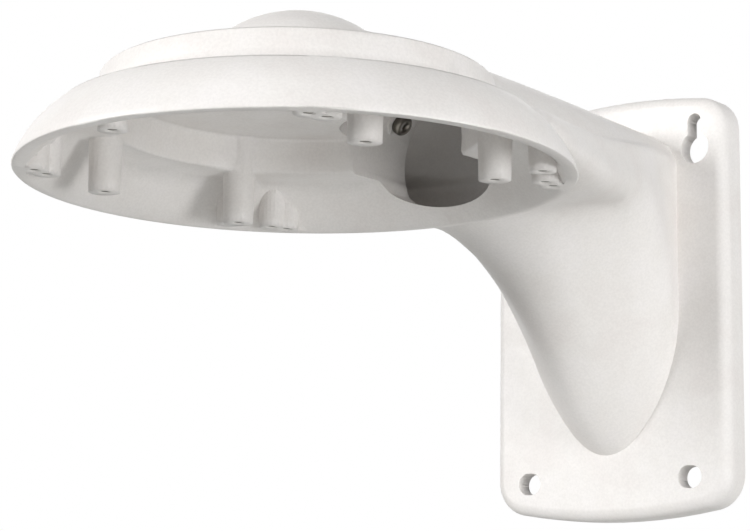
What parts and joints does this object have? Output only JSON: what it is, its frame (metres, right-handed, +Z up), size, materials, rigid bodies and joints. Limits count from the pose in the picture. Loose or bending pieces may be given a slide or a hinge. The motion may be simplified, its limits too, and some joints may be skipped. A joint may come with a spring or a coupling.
{
  "type": "camera wall bracket",
  "caption": "Cast wall bracket for a dome camera: open stepped cap, short hollow arm and an arched wall plate with keyholes and slots.",
  "frame": {"origin": "middle of the wall plate's back face, on the wall", "axes": "+Z up, +Y into the wall, the cap stands out along -Y and opens downwards"},
  "size_m": [0.18, 0.276, 0.1606],
  "materials": {
    "white_coat": "matt fine-textured powder coat over cast aluminium",
    "screw_steel": "dull dark plated steel"
  },
  "bodies": {
    "root": {"bracket_casting": "white_coat", "tether_screw": "screw_steel"}
  },
  "joints": []
}
